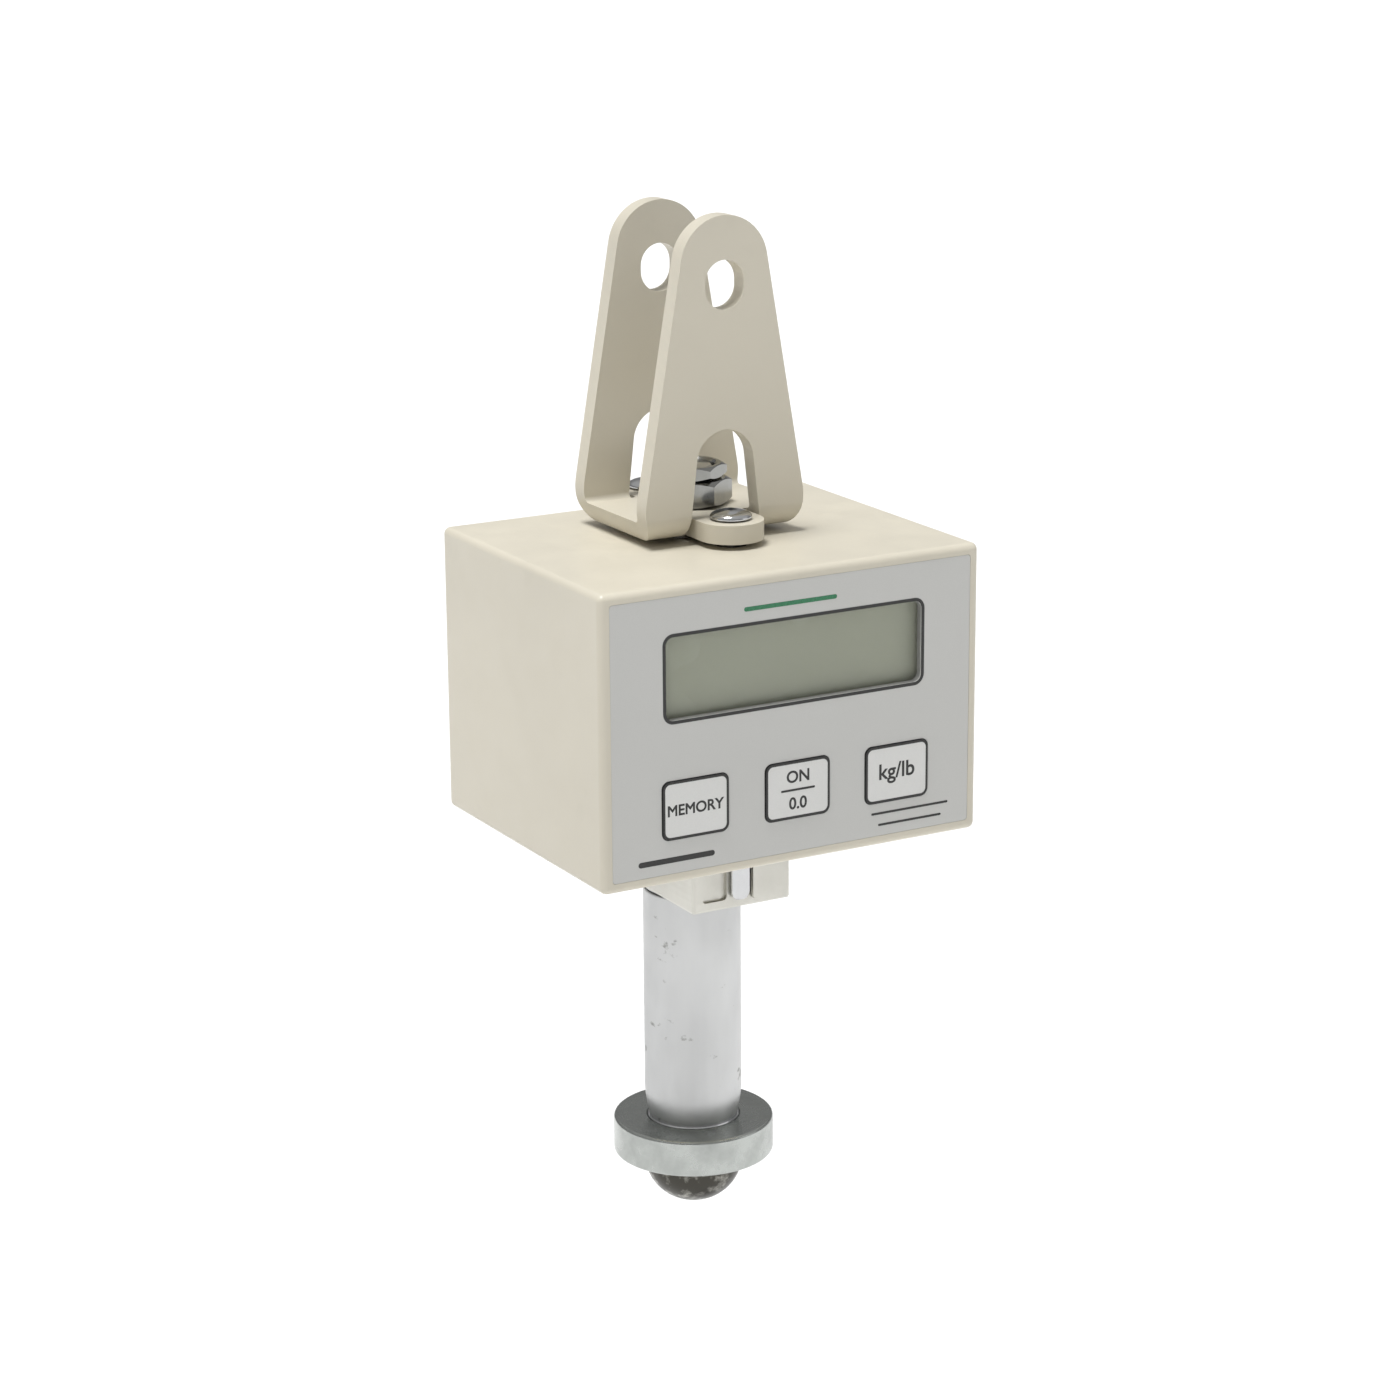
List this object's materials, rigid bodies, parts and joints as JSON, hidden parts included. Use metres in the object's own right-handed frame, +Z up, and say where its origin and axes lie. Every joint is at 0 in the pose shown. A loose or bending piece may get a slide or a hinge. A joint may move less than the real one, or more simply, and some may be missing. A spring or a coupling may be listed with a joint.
{
  "type": "crane scale",
  "caption": "Hanging scale: steel clevis on an S-beam load cell in a painted box with display and keys, and a swivelling spindle with a load flange below.",
  "frame": {"origin": "middle of the clevis pin hole, on the load line, halfway between the two ears", "axes": "+Z up along the load line, -Y towards the display, +X to the right of someone reading the display"},
  "size_m": [0.1064, 0.0874, 0.2627],
  "materials": {
    "beige_paint": "semi-gloss stove enamel",
    "bright_zinc": "bright zinc plate",
    "polished_steel": "polished",
    "dark_steel": "oiled dark steel",
    "nickel_plate": "satin nickel plate",
    "label_film": "matte printed film",
    "key_film": "matte printed film",
    "clear_lens": "clear",
    "display_glass": "reflective liquid-crystal glass",
    "circuit_board": "solder mask",
    "black_plastic": "moulded",
    "battery_wrap": "printed film",
    "cable_jacket": "PVC jacket"
  },
  "bodies": {
    "scale": {"clevis_bracket": "beige_paint", "clevis_screw_front": "bright_zinc", "clevis_screw_rear": "bright_zinc", "hanger_stud": "bright_zinc", "stud_nut_lower": "bright_zinc", "stud_nut_upper": "bright_zinc", "clevis_spacer": "bright_zinc", "tab_spacer_front": "dark_steel", "tab_spacer_rear": "dark_steel", "load_cell": "nickel_plate", "gauge_cover_left": "nickel_plate", "gauge_cover_right": "nickel_plate", "cell_stop_plate": "nickel_plate", "cell_stop_block": "bright_zinc", "swivel_bolt": "dark_steel", "lower_thrust_washer": "dark_steel", "case_shell": "beige_paint", "front_overlay": "label_film", "display_lens": "clear_lens", "display_glass": "display_glass", "display_frame": "black_plastic", "main_board": "circuit_board", "board_stud_1": "nickel_plate", "board_stud_2": "nickel_plate", "board_stud_3": "nickel_plate", "board_stud_4": "nickel_plate", "switch_recall": "black_plastic", "switch_zero": "black_plastic", "switch_unit": "black_plastic", "display_chip": "black_plastic", "converter_chip": "black_plastic", "lead_socket": "black_plastic", "power_socket": "black_plastic", "gauge_lead": "cable_jacket", "power_lead": "cable_jacket", "battery_tray": "black_plastic", "battery_1": "battery_wrap", "battery_2": "battery_wrap", "battery_3": "battery_wrap", "battery_4": "battery_wrap", "case_bracket_left": "nickel_plate", "case_bracket_right": "nickel_plate", "bracket_screw_left": "bright_zinc", "bracket_screw_right": "bright_zinc", "rear_cover": "beige_paint", "rear_cover_screw_1": "bright_zinc", "rear_cover_screw_2": "bright_zinc", "rear_cover_screw_3": "bright_zinc", "rear_cover_screw_4": "bright_zinc"},
    "spindle": {"spindle_sleeve": "bright_zinc", "load_flange": "polished_steel", "upper_thrust_washer": "polished_steel"},
    "key_recall": {"key_recall": "key_film"},
    "key_zero": {"key_zero": "key_film"},
    "key_unit": {"key_unit": "key_film"}
  },
  "joints": [
    {"name": "spindle_swivel", "type": "hinge", "parent": "scale", "child": "spindle", "pos_m": [0, 0, -0.184], "axis": [0, 0, 1], "continuous": true},
    {"name": "key_recall_press", "type": "slide", "parent": "scale", "child": "key_recall", "axis": [0, 1, 0], "range_m": [0, 0.0004], "stiffness_N_per_m": 4000},
    {"name": "key_zero_press", "type": "slide", "parent": "scale", "child": "key_zero", "axis": [0, 1, 0], "range_m": [0, 0.0004], "stiffness_N_per_m": 4000},
    {"name": "key_unit_press", "type": "slide", "parent": "scale", "child": "key_unit", "axis": [0, 1, 0], "range_m": [0, 0.0004], "stiffness_N_per_m": 4000}
  ]
}
